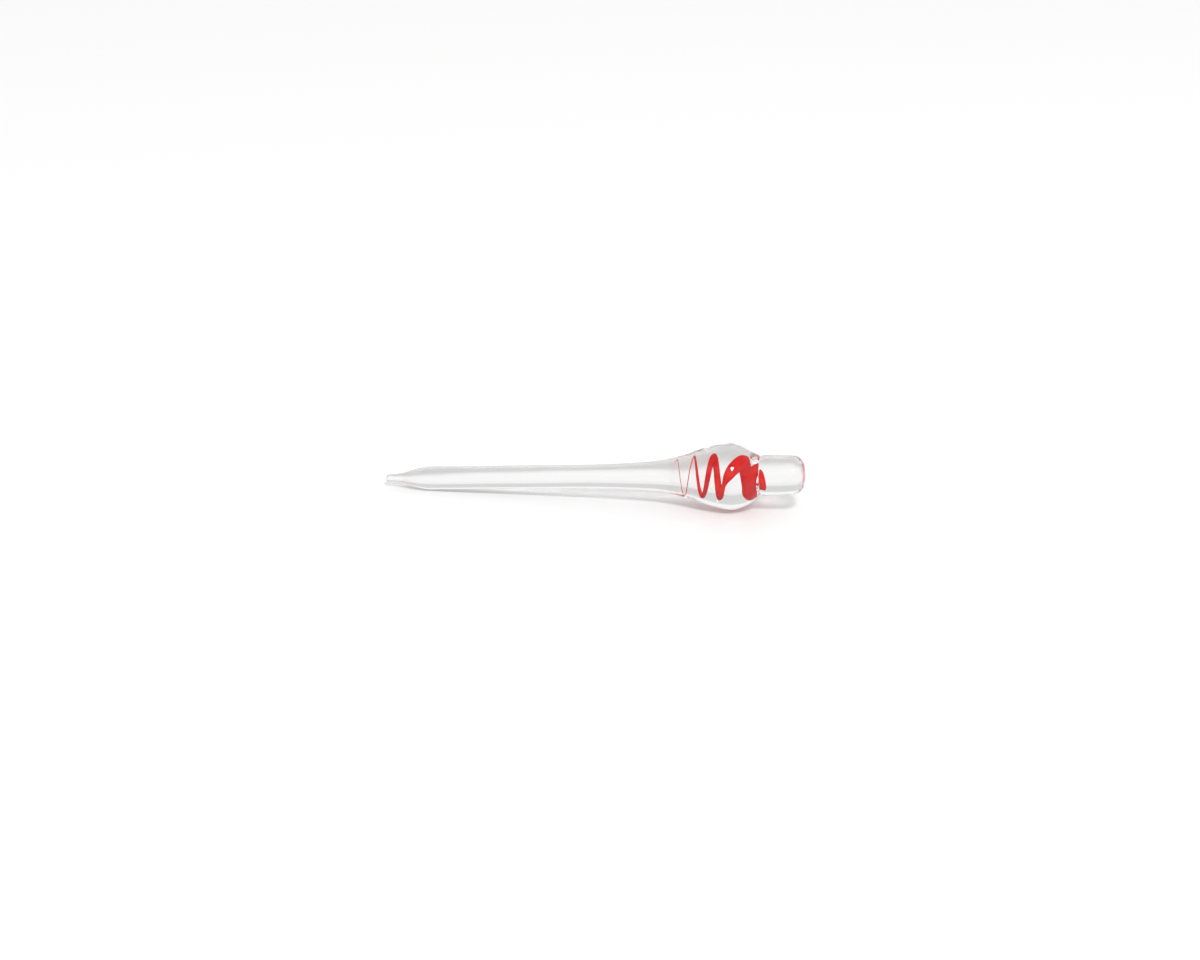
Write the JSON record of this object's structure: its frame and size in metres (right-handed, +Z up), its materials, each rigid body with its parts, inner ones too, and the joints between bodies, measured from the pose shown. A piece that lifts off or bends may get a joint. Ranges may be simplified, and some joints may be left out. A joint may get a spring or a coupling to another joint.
{
  "type": "glass dabbing wand",
  "caption": "Slim solid clear glass wand with a drawn, beaded tip, a flared neck, an egg-shaped bulb that encloses a tapering red spiral, and a short rounded stub.",
  "frame": {"origin": "on the surface that the wand lies on, under the centre of its bounding box", "axes": "+X along the wand from the beaded tip towards the stub, +Z up as the wand lies at rest on the shoulder of its rod and on its bulb"},
  "size_m": [0.1238, 0.0192, 0.0192],
  "materials": {
    "clear_glass": "fire-polished clear borosilicate glass, faintly uneven from hand work",
    "red_glass": "opaque red glass, glossy where it is cased in clear glass"
  },
  "bodies": {
    "root": {"tip_bead": "clear_glass", "drawn_point": "clear_glass", "shaft_rod": "clear_glass", "flared_neck": "clear_glass", "bulb_core": "clear_glass", "red_spiral": "red_glass", "bulb_casing": "clear_glass", "stub_rod": "clear_glass"}
  },
  "joints": []
}
